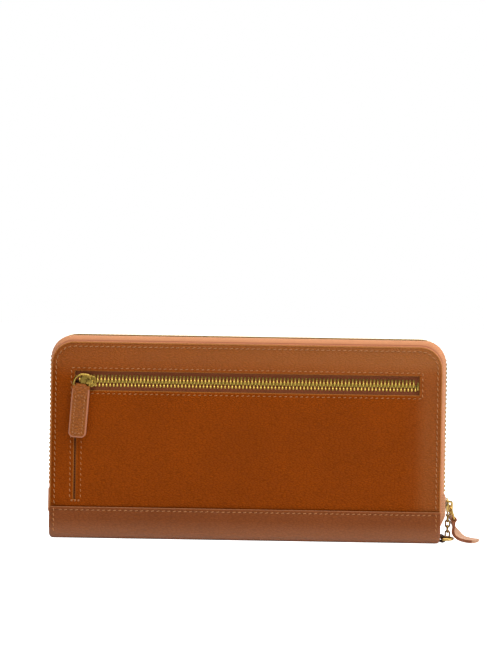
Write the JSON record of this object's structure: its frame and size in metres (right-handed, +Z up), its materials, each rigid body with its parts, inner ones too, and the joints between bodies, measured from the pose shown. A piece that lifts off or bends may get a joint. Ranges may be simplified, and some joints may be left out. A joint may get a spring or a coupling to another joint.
{
  "type": "zip around wallet",
  "caption": "Long zip around wallet with an outside zip pocket, inner card slots, a zipped coin divider, a leather pull strap and a small ring.",
  "frame": {"origin": "middle of the underside of the spine, which the wallet stands on", "axes": "+Z up from the spine to the top zip, +X to the viewer's right along the wallet, -Y out of the face with the zip pocket"},
  "size_m": [0.22, 0.0275, 0.1026],
  "materials": {
    "tan_leather": "pebble grained, semi-gloss",
    "band_leather": "smooth, semi-gloss",
    "edge_leather": "painted edge, satin",
    "dark_leather": "smooth, satin",
    "strap_leather": "smooth, satin",
    "orange_tape": "woven, matte",
    "brown_tape": "woven, matte",
    "lining": "twill, matte",
    "board": "matte",
    "brass": "polished, slightly aged",
    "gold_metal": "polished"
  },
  "bodies": {
    "spine": {"spine_leather": "band_leather", "spine_stiffener": "board", "coin_pocket_wall_front": "lining", "coin_pocket_wall_back": "lining", "coin_zip_tape_front": "brown_tape", "coin_zip_tape_back": "brown_tape", "coin_zip_teeth_front": "brass", "coin_zip_teeth_back": "brass", "right_zip_end_teeth": "brass", "right_zip_end_tape": "orange_tape", "left_zip_end_teeth": "brass", "left_zip_end_tape": "orange_tape", "ring_tab": "dark_leather", "front_gusset_left": "lining", "front_gusset_right": "lining", "back_gusset_left": "lining", "back_gusset_right": "lining"},
    "front_cover": {"front_leather": "tan_leather", "front_piping": "edge_leather", "front_spine_band": "band_leather", "pocket_zip_tape_upper": "brown_tape", "pocket_zip_tape_lower": "brown_tape", "pocket_zip_teeth_upper": "brass", "pocket_zip_teeth_lower": "brass", "pocket_zip_end_stop": "brass", "slit_pocket_backing": "lining", "pocket_lining_front": "lining", "pocket_lining_back": "lining", "front_board": "board", "front_lining": "lining", "front_card_slot_1": "tan_leather", "front_card_slot_2": "tan_leather", "front_card_slot_3": "tan_leather", "front_card_slot_4": "tan_leather", "front_zip_tape": "orange_tape", "front_zip_teeth": "brass"},
    "back_cover": {"back_leather": "tan_leather", "back_piping": "edge_leather", "back_spine_band": "band_leather", "back_board": "board", "back_lining": "lining", "back_note_pocket": "tan_leather", "back_card_slot_1": "tan_leather", "back_card_slot_2": "tan_leather", "back_card_slot_3": "tan_leather", "back_zip_tape": "orange_tape", "back_zip_teeth": "brass"},
    "main_slider": {"main_slider": "gold_metal"},
    "main_bail": {"main_bail": "gold_metal"},
    "pull_strap": {"pull_strap": "strap_leather"},
    "chain_link_1": {"chain_link_1": "gold_metal"},
    "chain_link_2": {"chain_link_2": "gold_metal"},
    "chain_link_3": {"chain_link_3": "gold_metal"},
    "chain_link_4": {"chain_link_4": "gold_metal"},
    "pocket_slider": {"pocket_slider": "brass"},
    "pocket_bail": {"pocket_bail": "brass"},
    "pocket_pull": {"pocket_pull": "tan_leather"},
    "coin_slider": {"coin_slider": "brass"},
    "coin_pull": {"coin_pull": "brass"},
    "d_ring": {"d_ring": "gold_metal"}
  },
  "joints": [
    {"name": "front_cover_hinge", "type": "hinge", "parent": "spine", "child": "front_cover", "pos_m": [0, -0.012, 0.0009], "axis": [1, 0, 0], "range_deg": [0, 50], "deforming": ["front_gusset_left", "front_gusset_right"]},
    {"name": "back_cover_hinge", "type": "hinge", "parent": "spine", "child": "back_cover", "pos_m": [0, 0.012, 0.0009], "axis": [-1, 0, 0], "range_deg": [0, 50], "deforming": ["back_gusset_left", "back_gusset_right"]},
    {"name": "main_slider_travel", "type": "slide", "parent": "spine", "child": "main_slider", "axis": [0, 0, 1], "range_m": [0, 0.062]},
    {"name": "main_bail_swing", "type": "hinge", "parent": "main_slider", "child": "main_bail", "pos_m": [0.1042, 0, 0.018], "axis": [0, -1, 0], "range_deg": [0, 100]},
    {"name": "pull_strap_swing", "type": "hinge", "parent": "main_bail", "child": "pull_strap", "pos_m": [0.1061, 0, 0.01137], "axis": [0, -1, 0], "range_deg": [0, 60]},
    {"name": "chain_link_1_swing", "type": "hinge", "parent": "main_slider", "child": "chain_link_1", "pos_m": [0.1034, 0, 0.0132], "axis": [0, 1, 0], "range_deg": [-2, 6]},
    {"name": "chain_link_2_swing", "type": "hinge", "parent": "chain_link_1", "child": "chain_link_2", "pos_m": [0.1034, 0, 0.01013], "axis": [1, 0, 0], "range_deg": [-5, 12]},
    {"name": "chain_link_3_swing", "type": "hinge", "parent": "chain_link_2", "child": "chain_link_3", "pos_m": [0.1034, 0, 0.00747], "axis": [0, 1, 0], "range_deg": [-2, 6]},
    {"name": "chain_link_4_swing", "type": "hinge", "parent": "chain_link_3", "child": "chain_link_4", "pos_m": [0.1034, 0, 0.00483], "axis": [1, 0, 0], "range_deg": [-5, 12]},
    {"name": "pocket_slider_travel", "type": "slide", "parent": "front_cover", "child": "pocket_slider", "axis": [1, 0, 0], "range_m": [0, 0.158]},
    {"name": "pocket_bail_swing", "type": "hinge", "parent": "pocket_slider", "child": "pocket_bail", "pos_m": [-0.0786, -0.0134, 0.0792], "axis": [0.0698, 0, 0.9976], "range_deg": [0, 80]},
    {"name": "pocket_pull_swing", "type": "hinge", "parent": "pocket_bail", "child": "pocket_pull", "pos_m": [-0.07882, -0.0134, 0.07601], "axis": [-0.9976, 0, 0.0698], "range_deg": [0, 8]},
    {"name": "coin_slider_travel", "type": "slide", "parent": "spine", "child": "coin_slider", "axis": [1, 0, 0], "range_m": [0, 0.158]},
    {"name": "coin_pull_lift", "type": "hinge", "parent": "coin_slider", "child": "coin_pull", "pos_m": [-0.081, 0, 0.09035], "axis": [0, -1, 0], "range_deg": [0, 80]},
    {"name": "d_ring_swing", "type": "hinge", "parent": "spine", "child": "d_ring", "pos_m": [0.0996, -0.007, 0.00235], "axis": [0, -1, 0], "range_deg": [0, 80]}
  ]
}
